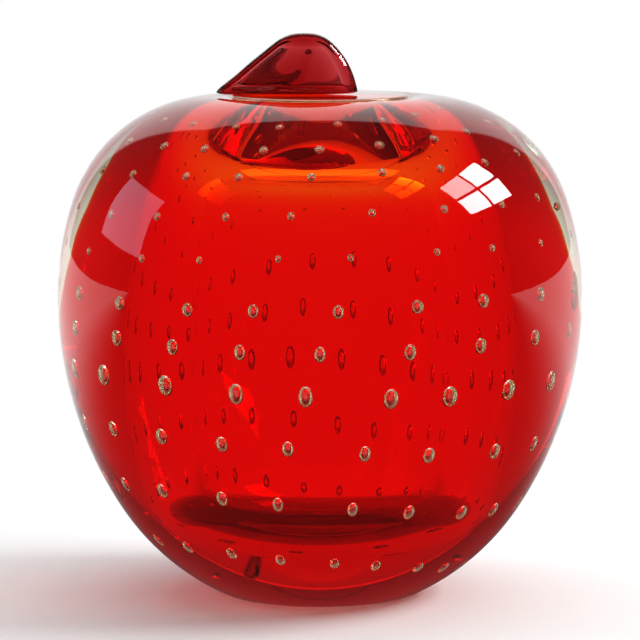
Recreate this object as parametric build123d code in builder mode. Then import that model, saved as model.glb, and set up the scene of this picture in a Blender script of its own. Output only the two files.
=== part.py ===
from build123d import *
from math import cos, degrees, atan, radians, sin
import os

# Art glass apple: a hollow ruby glass bulb, cased twice in clear glass, with a dark stem.
# It stands on the middle of its polished base at the origin, +Z up, and the stem leans to -X.
# All lengths are in millimetres and all angles in degrees.

# Outside of the body: one run of tangent arcs from the base to the middle of the dimple
body_diameter = 120.0
widest_height = 68.0
base_diameter = 45.0
base_lift_angle = 25.0
lower_flank_angle = 33.0
rim_height = 114.0
rim_diameter = 48.0
upper_flank_angle = 18.0
dimple_depth = 7.0
rim_roll_radius = 14.0

# Clear glass over the bubbles, and between them and the ruby at its widest
casing_wall = 5.0
gather_wall = 15.0

# Ruby bulb, with its wall at its widest
ruby_wall = 10.0
ruby_widest_height = 54.0
ruby_floor_height = 9.0
ruby_roof_gap = 7.5
ruby_side_angle = 12.0
ruby_corner_radius = 30.0
ruby_cap_angle = 13.0

# Air inside the bulb
cavity_widest_height = 58.0
cavity_floor_height = 22.0
cavity_roof_gap = 11.0
cavity_side_angle = 15.0
cavity_corner_radius = 9.0
cavity_cap_angle = 18.0

# Bubbles, caught in dents on the outside of the inner clear gather
bubble_columns = 20
bubble_width = 3.5
bubble_height = 4.7
bubble_side_angle = 42.0
bubble_sink_share = 0.84
first_column_angle = -104.0
row_twist_angle = 3.7
wander_angle = 1.5
wander_share = 0.004
# The rows fan apart towards +X and close up towards -X, about the row nearest the middle
fan_share = 0.08
fan_middle_share = 0.55
# Rows from the bottom up: the place along the flank as a share of its length, then the
# width and the height as shares of the largest bubble's
row_shares = [
    (0.124, 0.66, 0.72),
    (0.245, 0.74, 0.78),
    (0.350, 0.80, 0.80),
    (0.443, 1.00, 1.00),
    (0.514, 0.78, 0.76),
    (0.578, 0.74, 0.66),
    (0.656, 0.42, 0.36),
    (0.724, 0.48, 0.38),
    (0.798, 0.52, 0.40),
    (0.860, 0.58, 0.44),
    (0.925, 0.50, 0.38),
]

# Stem wafer, pressed into the dimple
wafer_diameter = 40.0
wafer_rise = 0.4
wafer_edge_round = 0.3

# Stem, a curled fin of glass on the wafer
stem_rise = 14.0
stem_left_reach = 24.5
stem_right_reach = 8.8
stem_thickness = 10.0
stem_foot_overrun = 6.0
stem_tip_share = 0.14
stem_dish_radius = 12.0
stem_dish_depth = 1.6
stem_dish_across_share = 0.18
stem_dish_up_share = 0.34
# Sections of the fin from the foot up: height, reach to the left and to the right, thickness,
# each as a share of the stem's own
fin_shares = [
    (0.00, 1.00, 1.00, 1.00),
    (0.27, 0.80, 0.91, 0.94),
    (0.53, 0.63, 0.72, 0.84),
    (0.78, 0.45, 0.40, 0.68),
    (0.92, 0.33, 0.14, 0.46),
]

body_radius = body_diameter / 2
base_radius = base_diameter / 2
rim_radius = rim_diameter / 2
dimple_floor = rim_height - dimple_depth
wafer_top = rim_height + wafer_rise
ruby_radius = body_radius - casing_wall - gather_wall
cavity_radius = ruby_radius - ruby_wall


def end_radii(reach, rise, side_angle, turned_angle, corner_radius=0, corner_angle=0):
    """Radii of the side arc and the last arc of an outline that starts upright.

    The side arc turns side_angle, a corner arc of a known radius turns corner_angle, and the
    last arc goes on until the outline has turned turned_angle. Together they cover the
    horizontal reach and the vertical rise.
    """
    first = radians(side_angle)
    second = radians(side_angle + corner_angle)
    last = radians(turned_angle)
    side_across = 1 - cos(first)
    last_across = cos(second) - cos(last)
    side_up = sin(first)
    last_up = sin(last) - sin(second)
    across = reach - corner_radius * (cos(first) - cos(second))
    up = rise - corner_radius * (sin(second) - sin(first))
    scale = side_across * last_up - last_across * side_up
    side_radius = (across * last_up - last_across * up) / scale
    last_radius = (side_across * up - across * side_up) / scale
    return side_radius, last_radius


def arc_run(start, heading_angle, arcs, inset=0):
    """A run of tangent arcs, given as radius and turn, moved an inset into the glass."""
    heading = Vector(cos(radians(heading_angle)), sin(radians(heading_angle)))
    point = Vector(*start) + heading.rotate(Axis.Z, 90) * inset
    with BuildLine(mode=Mode.PRIVATE) as run:
        for radius, turn in arcs:
            side = inset if turn > 0 else -inset
            arc = JernArc(point, heading, radius - side, turn)
            point = arc @ 1
            heading = arc % 1
    return run.wire()


def turned_solid(outline):
    """The solid of revolution under an outline that ends on the axis, with a flat foot."""
    start = outline @ 0
    end = outline @ 1
    with BuildPart(mode=Mode.PRIVATE) as turned:
        with BuildSketch(Plane.XZ):
            with BuildLine():
                add(outline)
                if start.X > 0:
                    Polyline((0, end.Y), (0, start.Y), (start.X, start.Y))
                else:
                    Line((0, end.Y), (0, start.Y))
            make_face()
        revolve(axis=Axis.Z)
    return turned.part


# The body's arcs: lower flank, upper flank, the roll over the rim and the dimple's dish
lower_turn = 90 - base_lift_angle
low_side_radius, low_radius = end_radii(
    body_radius - base_radius, widest_height, lower_flank_angle, lower_turn
)
high_side_radius, high_radius = end_radii(
    body_radius - rim_radius, rim_height - widest_height, upper_flank_angle, 90
)
dip_angle = 2 * degrees(atan(dimple_depth / rim_radius))
dish_radius = rim_radius / sin(radians(dip_angle)) - rim_roll_radius
flank_arcs = [
    (low_radius, lower_turn - lower_flank_angle),
    (low_side_radius, lower_flank_angle),
    (high_side_radius, upper_flank_angle),
    (high_radius, 90 - upper_flank_angle),
]
dimple_arcs = [(rim_roll_radius, dip_angle), (dish_radius, -dip_angle)]

base_edge = (base_radius, 0)
flank = arc_run(base_edge, base_lift_angle, flank_arcs)
skin = arc_run(base_edge, base_lift_angle, flank_arcs + dimple_arcs)
interface = arc_run(base_edge, base_lift_angle, flank_arcs + dimple_arcs, casing_wall)
body = turned_solid(skin)
gather_blank = turned_solid(interface)


def oval_solid(radius, floor, widest, roof, side_angle, corner_radius, cap_angle):
    """A turned oval with its own corner radius, flatter at the caps and the side."""
    corner_angle = 90 - side_angle - cap_angle
    low_side, floor_radius = end_radii(
        radius, widest - floor, side_angle, 90, corner_radius, corner_angle
    )
    high_side, roof_radius = end_radii(
        radius, roof - widest, side_angle, 90, corner_radius, corner_angle
    )
    arcs = [
        (floor_radius, cap_angle),
        (corner_radius, corner_angle),
        (low_side, side_angle),
        (high_side, side_angle),
        (corner_radius, corner_angle),
        (roof_radius, cap_angle),
    ]
    return turned_solid(arc_run((0, floor), 0, arcs))


ruby_blank = oval_solid(
    ruby_radius,
    ruby_floor_height,
    ruby_widest_height,
    dimple_floor - ruby_roof_gap,
    ruby_side_angle,
    ruby_corner_radius,
    ruby_cap_angle,
)
cavity = oval_solid(
    cavity_radius,
    cavity_floor_height,
    cavity_widest_height,
    dimple_floor - cavity_roof_gap,
    cavity_side_angle,
    cavity_corner_radius,
    cavity_cap_angle,
)


def dent_shape(width, height):
    """One bubble, an egg that is long along Z: a barrel between two rounded ends."""
    barrel_radius, end_radius = end_radii(width / 2, height / 2, bubble_side_angle, 90)
    end_turn = 90 - bubble_side_angle
    arcs = [(end_radius, end_turn), (barrel_radius, 2 * bubble_side_angle), (end_radius, end_turn)]
    return turned_solid(arc_run((0, -height / 2), 0, arcs))


def dent_row(row, place, width_share, height_share):
    """One row of bubbles, turned a little from the row below, each wandering a little."""
    width = bubble_width * width_share
    egg = dent_shape(width, bubble_height * height_share)
    eggs = []
    for column in range(bubble_columns):
        number = row * bubble_columns + column
        turn = first_column_angle + row_twist_angle * row + 360 / bubble_columns * column
        turn = turn + wander_angle * sin(number * number)
        fan = fan_share * (place - fan_middle_share) * cos(radians(turn))
        distance = flank.length * (place + fan + wander_share * sin(number))
        surface = flank.position_at(distance, PositionMode.LENGTH)
        along = flank.tangent_at(distance, PositionMode.LENGTH)
        spot = surface + along.rotate(Axis.Z, 90) * (casing_wall + bubble_sink_share * width / 2)
        seat = Plane((spot.X, 0, spot.Y), x_dir=(0, 1, 0), z_dir=(along.X, 0, along.Y))
        eggs.append((seat.location * egg).rotate(Axis.Z, turn))
    return eggs


# Outer clear casing: the whole outside of the apple, with the gather's space inside it
with BuildPart() as outer_casing:
    add(body)
    add(gather_blank, mode=Mode.SUBTRACT)

# Inner clear gather, with a dent for each bubble on its outside
with BuildPart() as dimpled_gather:
    add(gather_blank)
    add(ruby_blank, mode=Mode.SUBTRACT)
    dents = [dent for row, shares in enumerate(row_shares) for dent in dent_row(row, *shares)]
    add(dents, mode=Mode.SUBTRACT, clean=False)

# Ruby bulb, blown hollow
with BuildPart() as ruby_bulb:
    add(ruby_blank)
    add(cavity, mode=Mode.SUBTRACT)

# Wafer of dark glass that fills the dimple and takes the stem
with BuildPart() as stem_wafer:
    with BuildSketch(Plane.XY.offset(dimple_floor)):
        Circle(wafer_diameter / 2)
    extrude(amount=wafer_top - dimple_floor)
    fillet(stem_wafer.edges().group_by(Axis.Z)[-1], wafer_edge_round)
    add(body, mode=Mode.SUBTRACT)

# Stem: a fin lofted through rounded sections, dished in front and seated on wafer and rim
with BuildPart() as stem:
    for up, left, right, thick in [(-stem_foot_overrun / stem_rise, 1, 1, 1), *fin_shares]:
        reach_left = stem_left_reach * left
        reach_right = stem_right_reach * right
        with BuildSketch(Plane.XY.offset(wafer_top + stem_rise * up)):
            with Locations(((reach_right - reach_left) / 2, 0)):
                Ellipse((reach_right + reach_left) / 2, stem_thickness * thick / 2)
    tip = Vertex(-stem_left_reach * stem_tip_share, 0, wafer_top + stem_rise)
    loft(sections=[*stem.pending_faces, tip])
    with Locations(
        (
            -stem_left_reach * stem_dish_across_share,
            -stem_thickness / 2 - stem_dish_radius + stem_dish_depth,
            wafer_top + stem_rise * stem_dish_up_share,
        )
    ):
        Sphere(stem_dish_radius, mode=Mode.SUBTRACT)
    add(body, mode=Mode.SUBTRACT)
    add(stem_wafer.part, mode=Mode.SUBTRACT)

outer_casing.part.label = "outer_casing"
dimpled_gather.part.label = "dimpled_gather"
ruby_bulb.part.label = "ruby_bulb"
stem_wafer.part.label = "stem_wafer"
stem.part.label = "stem"

os.makedirs("parts", exist_ok=True)
for piece in (outer_casing, dimpled_gather, ruby_bulb, stem_wafer, stem):
    export_step(piece.part, f"parts/{piece.part.label}.step")
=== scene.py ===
# %% [markdown]
# # Art glass apple
#
# This ornament is an apple of heavy, hollow glass. Its maker blew a small ruby bulb and
# dipped it in clear glass. They pricked rows of dents into that gather, then dipped it again,
# and the dents closed into bubbles. A disc of pale red glass fills the dimple on top, and a
# curled fin of dark red glass stands on it as the stem.
#
# The solid model gives the sizes. This lesson makes the glass look right: where each surface
# lies, how light bends at it, and how much colour it picks up on the way through.

# %% Load the solid model
from itertools import pairwise
from math import atan2, cos, exp, pi, radians, sin

import bmesh
import bpy
from mathutils import Matrix, Vector


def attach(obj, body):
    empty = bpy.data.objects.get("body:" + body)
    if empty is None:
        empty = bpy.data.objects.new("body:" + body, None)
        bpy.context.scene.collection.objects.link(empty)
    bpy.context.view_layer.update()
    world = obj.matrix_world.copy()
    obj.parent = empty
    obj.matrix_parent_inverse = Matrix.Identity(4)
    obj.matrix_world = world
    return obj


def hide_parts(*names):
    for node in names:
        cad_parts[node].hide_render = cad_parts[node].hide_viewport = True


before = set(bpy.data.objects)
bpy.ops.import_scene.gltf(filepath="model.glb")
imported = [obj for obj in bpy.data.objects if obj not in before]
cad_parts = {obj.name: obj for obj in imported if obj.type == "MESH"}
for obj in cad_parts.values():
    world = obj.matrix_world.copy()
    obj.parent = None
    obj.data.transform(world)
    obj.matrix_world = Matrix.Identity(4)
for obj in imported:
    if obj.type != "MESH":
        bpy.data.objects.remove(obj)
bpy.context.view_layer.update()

MM = 0.001
print("solids:", sorted(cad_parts))

# %% [markdown]
# ## Camera
#
# The photograph was taken from a little under a metre away, with the lens slightly above the
# middle of the apple. A long lens at that distance keeps the outline as the photograph has it.

# %% Camera
camera_distance = 0.900
camera_elevation = radians(6.8)
camera_aim_height = 0.0626

bpy.ops.object.camera_add(
    location=(
        0,
        -camera_distance * cos(camera_elevation),
        camera_aim_height + camera_distance * sin(camera_elevation),
    ),
    rotation=(pi / 2 - camera_elevation, 0, 0),
)
camera = bpy.context.object
camera.name = "photo_camera"
camera.data.sensor_width = 36
camera.data.lens = 220.7
camera.data.clip_start = 0.01
bpy.context.scene.camera = camera
print("camera at", tuple(round(v, 3) for v in camera.location))

# %% [markdown]
# ## Studio
#
# Glass has hardly any look of its own. It shows what stands around it, so the studio comes
# first. White paper stands behind the apple, and softboxes hang above it and at both sides.
# The camera side is a dim room, so the front of the glass throws back little light and the
# ruby stays deep. Light Path tells the rays apart: what the camera sees itself, what the glass
# shows through its body, and what its skin throws back.

# %% World: white paper behind, a dim room in front
world = bpy.data.worlds.new("studio")
bpy.context.scene.world = world
world.use_nodes = True
nodes = world.node_tree.nodes
links = world.node_tree.links
backdrop = nodes["Background"]
backdrop.inputs["Color"].default_value = (1, 1, 1, 1)

# How bright the surroundings are, where 1 is white: for plain surfaces, the paper, the camera
# side seen through glass, and the camera side thrown back by glass
plain_light = 0.32
paper_white = 1.0
through_front = 0.65
room_dim = 0.06

light_path = nodes.new("ShaderNodeLightPath")


def blend_value(name, factor, first, second):
    """A node that goes from the first value to the second as the factor goes from 0 to 1."""
    node = nodes.new("ShaderNodeMix")
    node.name = node.label = name
    links.new(factor, node.inputs["Factor"])
    for socket, value in ((node.inputs["A"], first), (node.inputs["B"], second)):
        if isinstance(value, bpy.types.NodeSocket):
            links.new(value, socket)
        else:
            socket.default_value = value
    return node.outputs["Result"]


def smooth_step(name, value, low, high):
    """A node that goes smoothly from 0 to 1 as the value goes from low to high."""
    node = nodes.new("ShaderNodeMapRange")
    node.name = node.label = name
    node.interpolation_type = "SMOOTHSTEP"
    links.new(value, node.inputs["Value"])
    node.inputs["From Min"].default_value = low
    node.inputs["From Max"].default_value = high
    return node.outputs["Result"]


direction = nodes.new("ShaderNodeTexCoord")
split = nodes.new("ShaderNodeSeparateXYZ")
links.new(direction.outputs["Generated"], split.inputs["Vector"])


def calculate(name, operation, first, second=None):
    """A node that does one sum with sockets or numbers."""
    node = nodes.new("ShaderNodeMath")
    node.name = node.label = name
    node.operation = operation
    for socket, value in zip(node.inputs, (first, second)):
        if isinstance(value, bpy.types.NodeSocket):
            links.new(value, socket)
        elif value is not None:
            socket.default_value = value
    return node.outputs["Value"]


sideways = calculate("sideways", "ABSOLUTE", split.outputs["X"])
width = calculate("across the paper", "DIVIDE", sideways, split.outputs["Y"])
height = calculate("up the paper", "DIVIDE", split.outputs["Z"], split.outputs["Y"])
inside = smooth_step("between its sides", width, 0.62, 0.54)
under = smooth_step("under its top", height, 1.34, 1.24)
behind = smooth_step("behind the apple", split.outputs["Y"], 0.0, 0.05)
paper = calculate("paper or not", "MULTIPLY", calculate("both", "MULTIPLY", inside, under), behind)
mirrored = blend_value("paper or room", paper, room_dim, paper_white)
lit = blend_value("glossy or not", light_path.outputs["Is Glossy Ray"], plain_light, mirrored)
back = smooth_step("away from the camera", split.outputs["Y"], -0.45, 0.05)
shown = blend_value("front or back", back, through_front, paper_white)
lit = blend_value("through or not", light_path.outputs["Is Transmission Ray"], lit, shown)
lit = blend_value("camera or not", light_path.outputs["Is Camera Ray"], lit, paper_white)
links.new(lit, backdrop.inputs["Strength"])
print("world ready")

# %% [markdown]
# ## Clear glass
#
# The clear glass is one fused mass, so it is one mesh. Its outside is the skin of the apple.
# Its inside is every surface where the glass meets air: the bubbles and the big cavity. Those
# face inwards, towards the air, so light bends the right way at each of them.
#
# The apple was turned on a blowing iron, so its outline is drawn once and spun. The outline is
# the row of tangent arcs that the solids use, each given as a radius in mm and a turn in
# degrees.

# %% Follow an outline of arcs
flank_start = (22.5, 0.0)
flank_heading = 25.0
flank_arcs = [(56.19, 32.0), (87.54, 33.0), (72.57, 18.0), (34.12, 72.0)]


def along_arcs(start, heading, arcs, turn_step=1.6):
    """Points along a run of tangent arcs, from a start point and a heading."""
    across, up = start
    points = [(across, up)]
    for radius, turn in arcs:
        side = 1 if turn > 0 else -1
        middle_across = across - side * radius * sin(radians(heading))
        middle_up = up + side * radius * cos(radians(heading))
        count = max(2, round(abs(turn) / turn_step))
        for step in range(1, count + 1):
            angle = radians(heading + turn * step / count)
            across = middle_across + side * radius * sin(angle)
            up = middle_up - side * radius * cos(angle)
            points.append((across, up))
        heading += turn
    return points


skin = along_arcs(flank_start, flank_heading, flank_arcs)
print("skin ends at", tuple(round(v, 2) for v in skin[-1]), "mm")

# %% Spin an outline into a closed shell
def turned_shell(name, outline, steps=160):
    """A closed shell: one corner is extruded along the outline, then spun about the axis."""
    bpy.ops.object.select_all(action="DESELECT")
    bpy.ops.mesh.primitive_plane_add(size=MM, location=(0, 0, 0))
    shell = bpy.context.object
    shell.name = shell.data.name = name
    bpy.ops.object.mode_set(mode="EDIT")
    bpy.ops.mesh.select_all(action="SELECT")
    bpy.ops.mesh.merge(type="CENTER")
    across, up = outline[0]
    bpy.ops.transform.translate(value=(across * MM, 0, up * MM))
    for next_across, next_up in outline[1:]:
        move = ((next_across - across) * MM, 0, (next_up - up) * MM)
        bpy.ops.mesh.extrude_vertices_move(TRANSFORM_OT_translate={"value": move})
        across, up = next_across, next_up
    bpy.ops.mesh.select_all(action="SELECT")
    bpy.ops.mesh.spin(steps=steps, angle=2 * pi, center=(0, 0, 0), axis=(0, 0, 1))
    bpy.ops.mesh.select_all(action="SELECT")
    bpy.ops.mesh.remove_doubles(threshold=0.002 * MM)
    bpy.ops.mesh.normals_make_consistent(inside=False)
    bpy.ops.object.mode_set(mode="OBJECT")
    bpy.ops.object.shade_smooth()
    print(name, "has", len(shell.data.polygons), "faces")
    return shell


def turn_inside_out(shell):
    """Makes every face of a shell point into the space that it encloses."""
    bpy.ops.object.select_all(action="DESELECT")
    shell.select_set(True)
    bpy.context.view_layer.objects.active = shell
    bpy.ops.object.mode_set(mode="EDIT")
    bpy.ops.mesh.select_all(action="SELECT")
    bpy.ops.mesh.normals_make_consistent(inside=True)
    bpy.ops.object.mode_set(mode="OBJECT")


def join_into(target, pieces):
    """Joins the pieces into the target, which keeps its name."""
    bpy.ops.object.select_all(action="DESELECT")
    for piece in [*pieces, target]:
        piece.select_set(True)
    bpy.context.view_layer.objects.active = target
    bpy.ops.object.join()
    return target


# %% [markdown]
# The skin runs up to the rim, rolls over it, and meets the wafer of pale red glass that fills
# the dimple. The two were fused hot, so there is no air between them and no surface: the skin
# goes straight on over the wafer, with a small groove round its edge. The ground base has its
# sharp edge taken off.

# %% Skin, from the base to the top of the wafer
base_edge = [(0.0, 0.0), (22.1, 0.0), (22.35, 0.02)]
rim_and_wafer = along_arcs(skin[-1], 180.0, [(14.0, 14.0), (0.35, -104.0), (0.45, 90.0)], 6.0)
wafer_middle = (0.0, rim_and_wafer[-1][1] + 0.02)
clear = turned_shell("cased_glass", base_edge + skin[1:] + rim_and_wafer[1:] + [wafer_middle])

# %% [markdown]
# The air inside is an oval with a nearly flat roof. Light that comes in through the shoulder
# meets that roof at a low angle and bounces off it as off a mirror, and that is the oval under
# the stem.

# %% Ovals of six arcs
def end_radii(reach, rise, side_angle, corner_radius, corner_angle):
    """The side radius and the end radius of a quarter oval that reaches and rises as asked."""
    first = radians(side_angle)
    second = radians(side_angle + corner_angle)
    across = reach - corner_radius * (cos(first) - cos(second))
    up = rise - corner_radius * (sin(second) - sin(first))
    side_across = 1 - cos(first)
    side_up = sin(first)
    last_across = cos(second)
    last_up = 1 - sin(second)
    scale = side_across * last_up - last_across * side_up
    side_radius = (across * last_up - last_across * up) / scale
    end_radius = (side_across * up - across * side_up) / scale
    return side_radius, end_radius


def oval_outline(reach, floor, widest, roof, side_angle, corner_radius, cap_angle):
    """An oval's outline in mm, from the middle of its floor to the middle of its roof."""
    corner_angle = 90 - side_angle - cap_angle
    quarter = (side_angle, corner_radius, corner_angle)
    low_side, floor_end = end_radii(reach, widest - floor, *quarter)
    high_side, roof_end = end_radii(reach, roof - widest, *quarter)
    corner = (corner_radius, corner_angle)
    low = [(floor_end, cap_angle), corner, (low_side, side_angle)]
    high = [(high_side, side_angle), corner, (roof_end, cap_angle)]
    points = along_arcs((0.0, floor), 0.0, low + high, 2.5)
    points[-1] = (0.0, points[-1][1])
    return points


cavity_size = dict(reach=30.0, floor=22.0, widest=58.0, roof=96.0)
cavity_form = dict(side_angle=15.0, corner_radius=9.0, cap_angle=18.0)
inner_steps = 128
cavity = turned_shell("cavity", oval_outline(**cavity_size, **cavity_form), inner_steps)

# %% [markdown]
# ## Bubbles
#
# Each dent pricked in the first gather became one bubble when the second gather closed it.
# There are 20 round the apple in each row, and each row is turned a little from the one
# below. A bubble is modelled once, with few faces because there are hundreds of them, and copied
# to its place under the skin. A hand-pricked bubble is never quite in line, so each wanders.

# %% Where the rows lie
bubble_columns = 20
bubble_width = 3.5
bubble_height = 4.7
casing_wall = 5.0
sink_share = 0.84
first_column_angle = -104.0
row_twist_angle = 3.7
wander_angle = 1.5
wander_share = 0.004
# The rows fan apart towards +X and close up towards -X, about the row nearest the middle
fan_share = 0.08
fan_middle_share = 0.55

# Rows from the bottom up: place along the flank, width and height, all as shares
row_shares = [
    (0.124, 0.66, 0.72),
    (0.245, 0.74, 0.78),
    (0.350, 0.80, 0.80),
    (0.443, 1.00, 1.00),
    (0.514, 0.78, 0.76),
    (0.578, 0.74, 0.66),
    (0.656, 0.42, 0.36),
    (0.724, 0.48, 0.38),
    (0.798, 0.52, 0.40),
    (0.860, 0.58, 0.44),
    (0.925, 0.50, 0.38),
]
# Degrees that the bubbles at the back of a row lie off their even spacing. Where one lay
# straight behind the apple, its image became a big dark loop at both edges.
back_shift = {3: -4.5, 4: 5.0}
flank_length = sum(radius * radians(turn) for radius, turn in flank_arcs)


def on_flank(distance):
    """The point on the flank that far from its start, and the heading there in radians."""
    across, up = flank_start
    heading = flank_heading
    for radius, turn in flank_arcs:
        length = radius * radians(turn)
        part = min(distance / length, 1.0)
        middle_across = across - radius * sin(radians(heading))
        middle_up = up + radius * cos(radians(heading))
        heading += turn * part
        across = middle_across + radius * sin(radians(heading))
        up = middle_up - radius * cos(radians(heading))
        distance -= length * part
        if part < 1.0:
            break
    return across, up, radians(heading)


print("flank", round(flank_length, 1), "mm long,", len(row_shares), "rows")

# %% Copy one bubble to every place
bpy.ops.object.select_all(action="DESELECT")
bpy.ops.mesh.primitive_uv_sphere_add(segments=12, ring_count=7, radius=0.5 * MM)
first_bubble = bpy.context.object
bpy.ops.object.shade_smooth()

bubbles = []
for row, (place, width_share, height_share) in enumerate(row_shares):
    width = bubble_width * width_share
    height = bubble_height * height_share
    for column in range(bubble_columns):
        number = row * bubble_columns + column
        turn = first_column_angle + row_twist_angle * row + 360 / bubble_columns * column
        turn += wander_angle * sin(number * number)
        turn += back_shift.get(row, 0.0) * (1 + sin(radians(turn))) / 2
        fan = fan_share * (place - fan_middle_share) * cos(radians(turn))
        share = place + fan + wander_share * sin(number)
        across, up, heading = on_flank(flank_length * share)
        depth = casing_wall + sink_share * width / 2
        spot = Vector((across - depth * sin(heading), 0, up + depth * cos(heading))) * MM
        swell = 1 + 0.07 * sin(5 * number)
        bubble = first_bubble.copy()
        bubble.data = first_bubble.data.copy()
        bubble.matrix_world = (
            Matrix.Rotation(radians(turn), 4, "Z")
            @ Matrix.Translation(spot)
            @ Matrix.Rotation(pi / 2 - heading + 0.12 * sin(3 * number), 4, "Y")
            @ Matrix.Diagonal((width * swell, width * swell, height, 1.0))
        )
        bpy.context.collection.objects.link(bubble)
        bubbles.append(bubble)
bpy.data.objects.remove(first_bubble)
print(len(bubbles), "bubbles")

# %% One mesh of clear glass
voids = join_into(cavity, bubbles)
turn_inside_out(voids)
clear = join_into(clear, [voids])
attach(clear, "root")
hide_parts("outer_casing", "dimpled_gather")
print("clear glass has", len(clear.data.polygons), "faces")

# %% [markdown]
# ## Ruby glass
#
# The ruby is glass too, fused to the clear glass all round, so light doesn't bend where they
# meet. It only loses its blue and green on the way through. The ruby is therefore a shell that
# bends nothing and absorbs a lot. Its inner side reaches a twentieth of a millimetre into
# the air of the cavity, so the two surfaces never lie in one place.

# %% Ruby shell
ruby_size = dict(reach=40.0, floor=9.0, widest=54.0, roof=99.5)
ruby_form = dict(side_angle=12.0, corner_radius=30.0, cap_angle=13.0)
ruby = turned_shell("ruby_layer", oval_outline(**ruby_size, **ruby_form), inner_steps)
overlap = 0.05
lining_size = dict(
    reach=cavity_size["reach"] - overlap,
    floor=cavity_size["floor"] + overlap,
    widest=cavity_size["widest"],
    roof=cavity_size["roof"] - overlap,
)
lining = turned_shell("lining", oval_outline(**lining_size, **cavity_form), inner_steps)
turn_inside_out(lining)
ruby = join_into(ruby, [lining])
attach(ruby, "root")
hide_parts("ruby_bulb")

# %% [markdown]
# ## Wafer and stem
#
# The wafer is a bit of pale red glass that spread out as it was pressed on. Its colour lies
# just under the skin, thicker in the middle and thin at the edge, where it looks pale pink.

# %% Wafer
wafer_under = [(0.0, 112.6), (8.0, 112.7), (14.0, 113.0), (18.5, 113.4), (19.9, 113.6)]
wafer_over = [(20.05, 113.8), (20.0, 114.1), (19.7, 114.31), (0.0, 114.33)]
wafer = turned_shell("pressed_wafer", wafer_under + wafer_over, 96)
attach(wafer, "root")
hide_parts("stem_wafer")

# %% [markdown]
# The stem is a lump of dark red glass, pinched into a fin and pulled to the left while it was
# soft. Its front is dished, with a thick rolled rim on the right and a thin one along the
# straight left slope. It starts as a ring that is extruded upwards level by level, and each
# level is fitted to the fin's outline. A subdivision then smooths it.

# %% Stem levels: height over the wafer, reach to the left and right, half the thickness, in mm
wafer_top = 114.33
stem_levels = [
    (0.03, 24.3, 8.8, 4.9),
    (0.9, 23.7, 8.7, 4.9),
    (2.2, 22.3, 8.4, 4.8),
    (4.0, 19.8, 7.9, 4.6),
    (5.8, 17.8, 7.2, 4.4),
    (7.6, 15.7, 6.3, 4.2),
    (9.4, 13.4, 5.1, 3.9),
    (11.2, 11.2, 3.5, 3.5),
    (12.3, 9.8, 2.3, 3.1),
    (13.1, 8.4, 1.1, 2.6),
    (13.7, 6.8, -0.4, 1.8),
    (14.0, 5.2, -1.9, 0.9),
]
ring_corners = 32


def between(value, low, high):
    """Goes smoothly from 0 to 1 as the value goes from low to high."""
    part = min(max((value - low) / (high - low), 0.0), 1.0)
    return part * part * (3 - 2 * part)


def fit_ring(corners, level):
    """Moves a ring of corners onto one level's rounded section."""
    height, left, right, half_thick = level
    middle = (right - left) / 2
    half_wide = (right + left) / 2
    for number, corner in enumerate(corners):
        angle = 2 * pi * number / len(corners)
        across = middle + half_wide * cos(angle)
        depth = half_thick * (abs(sin(angle)) ** 0.85) * (1 if sin(angle) > 0 else -1)
        drop = 0.32 * between(-across, 18.0, 21.0) if height < 0.1 else 0.0
        corner.co = Vector((across, depth, wafer_top + height - drop)) * MM


bpy.ops.object.select_all(action="DESELECT")
bpy.ops.mesh.primitive_circle_add(vertices=ring_corners, radius=MM, fill_type="NGON")
stem = bpy.context.object
stem.name = stem.data.name = "curled_stem"
for level in stem_levels[1:]:
    bpy.ops.object.mode_set(mode="EDIT")
    bpy.ops.mesh.extrude_region_move(TRANSFORM_OT_translate={"value": (0, 0, MM)})
    bpy.ops.object.mode_set(mode="OBJECT")
bm = bmesh.new()
bm.from_mesh(stem.data)
levels_found = sorted({round(corner.co.z / MM) for corner in bm.verts})
for level, found in zip(stem_levels, levels_found):
    corners = [corner for corner in bm.verts if round(corner.co.z / MM) == found]
    corners.sort(key=lambda corner: atan2(corner.co.y, corner.co.x) % (2 * pi))
    fit_ring(corners, level)
bmesh.ops.recalc_face_normals(bm, faces=bm.faces)
bm.to_mesh(stem.data)
bm.free()
smooth = stem.modifiers.new("smooth", "SUBSURF")
smooth.levels = smooth.render_levels = 3
bpy.ops.object.modifier_apply(modifier=smooth.name)
bpy.ops.object.shade_smooth()
print("stem has", len(stem.data.polygons), "faces")

# %% [markdown]
# The dish is pressed in by moving the front of the fin back where it lies far enough from the
# edge. A low ridge curls down from the middle, where the glass folded as it was pinched.

# %% Dish, rolled rim and fold
def reaches(height):
    """The fin's reach to the left and to the right at a height."""
    for (low, left, right, _), (high, next_left, next_right, _) in pairwise(stem_levels):
        if height <= high:
            part = max((height - low) / (high - low), 0.0)
            return left + (next_left - left) * part, right + (next_right - right) * part
    return stem_levels[-1][1:3]


def from_line(across, height, line):
    """How far a point on the front of the fin is from a drawn line."""
    spot = Vector((across, height))
    nearest = 1e9
    for start, end in pairwise(line):
        start, end = Vector(start), Vector(end)
        part = min(max((spot - start).dot(end - start) / (end - start).length_squared, 0), 1)
        nearest = min(nearest, (spot - start.lerp(end, part)).length)
    return nearest


fold = [(-2.6, 9.0), (-3.6, 7.2), (-3.9, 5.4), (-5.0, 3.8), (-7.4, 2.4), (-10.5, 1.5)]
for corner in stem.data.vertices:
    across, depth, up = corner.co / MM
    height = up - wafer_top
    left, right = reaches(height)
    inner = between(right - across, 1.3, 3.4) * between(across + left, 0.9, 2.8)
    inner *= between(height, 0.4, 2.4) * between(13.6 - height, 0.8, 3.0)
    front = between(-depth, 0.2, 1.6)
    back = between(depth, 0.2, 1.6)
    ridge = 0.5 * exp(-((from_line(across, height, fold) / 1.0) ** 2))
    depth += front * inner * (2.3 - ridge) - back * inner * 0.9
    corner.co = Vector((across, depth, up)) * MM
stem.data.update()
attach(stem, "root")
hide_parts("stem")

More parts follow.
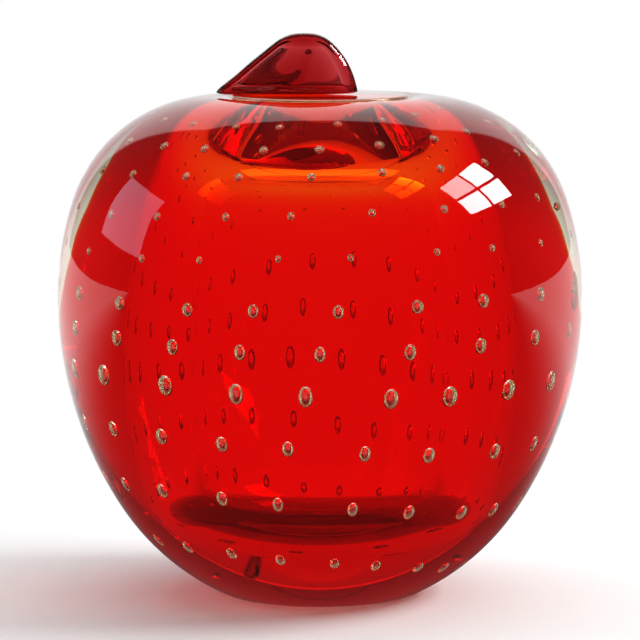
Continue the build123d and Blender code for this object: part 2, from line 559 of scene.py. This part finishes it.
# %% [markdown]
# ## Finishes
#
# Hand-made glass is never optically flat. One shared group of nodes makes the slow ripple that
# the tools and the heat leave in the surface, and the long streaks where the colour is a
# little thicker. Each glass uses it at its own size. Only the clear skin ripples: the stem's
# rim is so narrow that a ripple would break up the highlight on it.

# %% Shared ripple and streaks
handwork = bpy.data.node_groups.new("Hand-worked glass", "ShaderNodeTree")
for name, start in (("Ripple Size", 0.02), ("Streak Size", 0.02), ("Streak Stretch", 0.3)):
    socket = handwork.interface.new_socket(name, in_out="INPUT", socket_type="NodeSocketFloat")
    socket.default_value = start
for name in ("Ripple", "Streak"):
    handwork.interface.new_socket(name, in_out="OUTPUT", socket_type="NodeSocketFloat")
nodes = handwork.nodes
links = handwork.links
group_in = nodes.new("NodeGroupInput")
group_out = nodes.new("NodeGroupOutput")
place = nodes.new("ShaderNodeTexCoord")


def noise_of_size(size_socket, vector, detail):
    """A noise whose lumps are as large as the group's size input says."""
    per_metre = nodes.new("ShaderNodeMath")
    per_metre.operation = "DIVIDE"
    per_metre.inputs[0].default_value = 1.0
    links.new(group_in.outputs[size_socket], per_metre.inputs[1])
    noise = nodes.new("ShaderNodeTexNoise")
    noise.inputs["Detail"].default_value = detail
    links.new(vector, noise.inputs["Vector"])
    links.new(per_metre.outputs["Value"], noise.inputs["Scale"])
    return noise.outputs["Fac"]


links.new(noise_of_size("Ripple Size", place.outputs["Object"], 1.0), group_out.inputs["Ripple"])
stretch = nodes.new("ShaderNodeCombineXYZ")
stretch.inputs["X"].default_value = 1.0
stretch.inputs["Y"].default_value = 1.0
links.new(group_in.outputs["Streak Stretch"], stretch.inputs["Z"])
stretched = nodes.new("ShaderNodeVectorMath")
stretched.operation = "MULTIPLY"
links.new(place.outputs["Object"], stretched.inputs[0])
links.new(stretch.outputs["Vector"], stretched.inputs[1])
streak = noise_of_size("Streak Size", stretched.outputs["Vector"], 3.0)
links.new(streak, group_out.inputs["Streak"])
print("group outputs:", [item.name for item in handwork.interface.items_tree])

# %% [markdown]
# Each glass bends light by its index and absorbs with its volume. The absorption's colour is
# what is left of white light, and its density says how soon. Ruby loses a little red and nearly
# all of its green and blue in a centimetre, so it is orange where it is thin and deep red where
# it is thick.

# %% A glass with its own index, absorption and handwork
def glass_finish(
    name, bend, left_over, density, streak_size, streak_stretch, thin, thick, ripple=None
):
    """A glass: its index, absorption per metre, streaks from thin to thick colour, and ripple."""
    material = bpy.data.materials.new(name)
    material.use_nodes = True
    nodes = material.node_tree.nodes
    links = material.node_tree.links
    shader = nodes["Principled BSDF"]
    shader.inputs["Transmission Weight"].default_value = 1.0
    shader.inputs["Roughness"].default_value = 0.0
    shader.inputs["IOR"].default_value = bend
    absorb = nodes.new("ShaderNodeVolumeAbsorption")
    absorb.inputs["Color"].default_value = (*left_over, 1.0)
    absorb.inputs["Density"].default_value = density
    links.new(absorb.outputs["Volume"], nodes["Material Output"].inputs["Volume"])
    work = nodes.new("ShaderNodeGroup")
    work.node_tree = handwork
    work.inputs["Streak Size"].default_value = streak_size
    work.inputs["Streak Stretch"].default_value = streak_stretch
    tint = nodes.new("ShaderNodeMix")
    tint.data_type = "RGBA"
    links.new(work.outputs["Streak"], tint.inputs["Factor"])
    tint.inputs["A"].default_value = (*thin, 1.0)
    tint.inputs["B"].default_value = (*thick, 1.0)
    links.new(tint.outputs["Result"], shader.inputs["Base Color"])
    if ripple:
        ripple_size, ripple_height = ripple
        work.inputs["Ripple Size"].default_value = ripple_size
        bump = nodes.new("ShaderNodeBump")
        bump.inputs["Distance"].default_value = ripple_height
        links.new(work.outputs["Ripple"], bump.inputs["Height"])
        links.new(bump.outputs["Normal"], shader.inputs["Normal"])
    print(name, "made")
    return material


glass_index = 1.5
fused_index = 1.0
white = (1.0, 1.0, 1.0)
clear_finish = glass_finish(
    "fire-polished clear glass",
    bend=glass_index,
    left_over=(0.90, 1.0, 0.70),
    density=8.0,
    streak_size=0.03,
    streak_stretch=0.3,
    thin=white,
    thick=(0.97, 0.98, 0.95),
    ripple=(0.016, 0.00006),
)
ruby_finish = glass_finish(
    "ruby glass",
    bend=fused_index,
    left_over=(0.988, 0.58, 0.0),
    density=880.0,
    streak_size=0.012,
    streak_stretch=0.35,
    thin=white,
    thick=(1.0, 0.8, 0.7),
)
wafer_finish = glass_finish(
    "pale wafer glass",
    bend=fused_index,
    left_over=(0.85, 0.3, 0.42),
    density=30.0,
    streak_size=0.008,
    streak_stretch=1.0,
    thin=white,
    thick=(1.0, 0.85, 0.88),
)
stem_finish = glass_finish(
    "dark stem glass",
    bend=glass_index,
    left_over=(0.78, 0.0, 0.04),
    density=850.0,
    streak_size=0.005,
    streak_stretch=0.5,
    thin=(1.0, 0.9, 0.9),
    thick=(0.9, 0.6, 0.6),
)

# %% [markdown]
# The base was ground flat and polished, and such a piece stands on shelves. Fine scratches and a
# slight haze show only on that face, so the roughness rises where the height is nearly zero.

# %% Worn base
nodes = clear_finish.node_tree.nodes
links = clear_finish.node_tree.links
place = nodes.new("ShaderNodeTexCoord")
height = nodes.new("ShaderNodeSeparateXYZ")
links.new(place.outputs["Object"], height.inputs["Vector"])
on_base = smooth_step("on the base", height.outputs["Z"], 0.00025, 0.00002)
scratches = nodes.new("ShaderNodeTexNoise")
scratches.inputs["Scale"].default_value = 900.0
scratches.inputs["Detail"].default_value = 6.0
scratches.inputs["Distortion"].default_value = 4.0
links.new(place.outputs["Object"], scratches.inputs["Vector"])
haze = nodes.new("ShaderNodeMath")
haze.operation = "MULTIPLY"
links.new(on_base, haze.inputs[0])
links.new(scratches.outputs["Fac"], haze.inputs[1])
wear = nodes.new("ShaderNodeMath")
wear.operation = "MULTIPLY"
wear.inputs[1].default_value = 0.35
links.new(haze.outputs["Value"], wear.inputs[0])
links.new(wear.outputs["Value"], nodes["Principled BSDF"].inputs["Roughness"])

# %% Put each finish on its piece
for piece, finish in (
    (clear, clear_finish),
    (ruby, ruby_finish),
    (wafer, wafer_finish),
    (stem, stem_finish),
):
    piece.data.materials.clear()
    piece.data.materials.append(finish)
    print(piece.name, "wears", finish.name)

# %% [markdown]
# ## Floor and softboxes
#
# The floor is white paper. Close to the apple it is plain paper that takes the soft shadow, and
# further off it turns into the white background. What the glass shows of it has painted shade:
# near the apple its paper is painted dark, and it turns white further off. Its reflection is a
# painted reflection, a dim glow in front and white behind.

# %% Floor
bpy.ops.object.select_all(action="DESELECT")
bpy.ops.mesh.primitive_circle_add(
    vertices=96, radius=8.0, fill_type="NGON", location=(0, 0, -0.2 * MM)
)
floor = bpy.context.object
floor.name = "floor"
floor_paper = bpy.data.materials.new("white floor paper")
floor_paper.use_nodes = True
nodes = floor_paper.node_tree.nodes
links = floor_paper.node_tree.links
paper = nodes["Principled BSDF"]
paper.inputs["Roughness"].default_value = 0.9
paper.inputs["Specular IOR Level"].default_value = 0.0
light_path = nodes.new("ShaderNodeLightPath")
place = nodes.new("ShaderNodeTexCoord")
distance = nodes.new("ShaderNodeVectorMath")
distance.operation = "LENGTH"
links.new(place.outputs["Object"], distance.inputs[0])
near_white = smooth_step("white for the camera", distance.outputs["Value"], 0.045, 0.20)
# Painted shade: where the glass shows the floor, the paper near the apple is painted dark, 0.3 in
# place of 0.88, and turns white only further off than for the camera.
far_white = smooth_step("white through glass", distance.outputs["Value"], 0.075, 0.32)
glass_share = blend_value(
    "through glass or not", light_path.outputs["Is Transmission Ray"], 0.0, far_white
)
share = blend_value(
    "camera or glass", light_path.outputs["Is Camera Ray"], glass_share, near_white
)
shade = blend_value("painted shade through glass", light_path.outputs["Is Transmission Ray"], 0.88, 0.3)
links.new(shade, paper.inputs["Base Color"])
glow = nodes.new("ShaderNodeEmission")
split = nodes.new("ShaderNodeSeparateXYZ")
links.new(place.outputs["Object"], split.inputs["Vector"])
back = smooth_step("away from the camera", split.outputs["Y"], -0.15, 0.05)
shown = blend_value("front or back", back, through_front, paper_white)
strength = blend_value("through or not", light_path.outputs["Is Camera Ray"], shown, paper_white)
links.new(strength, glow.inputs["Strength"])
both = nodes.new("ShaderNodeMixShader")
links.new(share, both.inputs["Fac"])
links.new(paper.outputs["BSDF"], both.inputs[1])
links.new(glow.outputs["Emission"], both.inputs[2])
# Painted reflection: rays that the glass throws back find a dim glow in front of the apple and
# white behind it, in place of the lit paper.
mirrored = nodes.new("ShaderNodeMath")
mirrored.operation = "SUBTRACT"
mirrored.use_clamp = True
links.new(light_path.outputs["Is Glossy Ray"], mirrored.inputs[0])
links.new(light_path.outputs["Is Transmission Ray"], mirrored.inputs[1])
dim = nodes.new("ShaderNodeEmission")
behind = smooth_step("behind the apple", split.outputs["Y"], 0.0, 0.25)
links.new(blend_value("paper or room", behind, room_dim, paper_white), dim.inputs["Strength"])
all_three = nodes.new("ShaderNodeMixShader")
links.new(mirrored.outputs["Value"], all_three.inputs["Fac"])
links.new(both.outputs["Shader"], all_three.inputs[1])
links.new(dim.outputs["Emission"], all_three.inputs[2])
links.new(all_three.outputs["Shader"], nodes["Material Output"].inputs["Surface"])
floor.data.materials.append(floor_paper)

# %% [markdown]
# A big softbox above lights the floor and makes the soft shadow. It is hidden from reflections,
# because the pale band along the shoulder is the paper behind. A window with four panes stands
# high on the right, and a softer one on the left. Their pictures in the glass show how round
# it is.

# %% Softboxes
def softbox(name, turn, rise, distance, width, height, brightness, shift=(0, 0)):
    """A soft light that faces the apple: turn from the camera side to the right, and rise."""
    turn = radians(turn)
    rise = radians(rise)
    towards = Vector((sin(turn) * cos(rise), -cos(turn) * cos(rise), sin(rise)))
    sideways = Vector((cos(turn), sin(turn), 0))
    upwards = towards.cross(sideways)
    spot = towards * distance + sideways * shift[0] + upwards * shift[1] + Vector((0, 0, 0.06))
    bpy.ops.object.light_add(type="AREA", location=spot)
    lamp = bpy.context.object
    lamp.name = lamp.data.name = name
    lamp.rotation_euler = towards.to_track_quat("Z", "Y").to_euler()
    lamp.data.shape = "RECTANGLE"
    lamp.data.size = width
    lamp.data.size_y = height
    lamp.data.energy = brightness * pi * width * height
    lamp.visible_camera = False
    return lamp


light_distance = 1.2
pane_width, pane_height = 0.30, 0.20
overhead = softbox("overhead softbox", 180, 74, light_distance, 1.8, 0.9, 1.8)
overhead.visible_glossy = False
for side, up, brightness in ((-1, -1, 20), (1, -1, 20), (-1, 1, 9), (1, 1, 20)):
    shift = (side * 0.165, up * 0.115)
    softbox("window pane", 92, 36, light_distance, pane_width, pane_height, brightness, shift)
left_window = softbox("left window", -100, 21, light_distance, 0.62, 0.46, 1.8)
left_window.data.color = (0.8, 0.75, 1.0)

# %% View and bounces
# Light crosses many surfaces in this glass, so it is followed further than usual.
scene = bpy.context.scene
scene.view_settings.view_transform = "Standard"
scene.cycles.max_bounces = 24
scene.cycles.transmission_bounces = 24
scene.cycles.transparent_max_bounces = 32
scene.cycles.glossy_bounces = 12
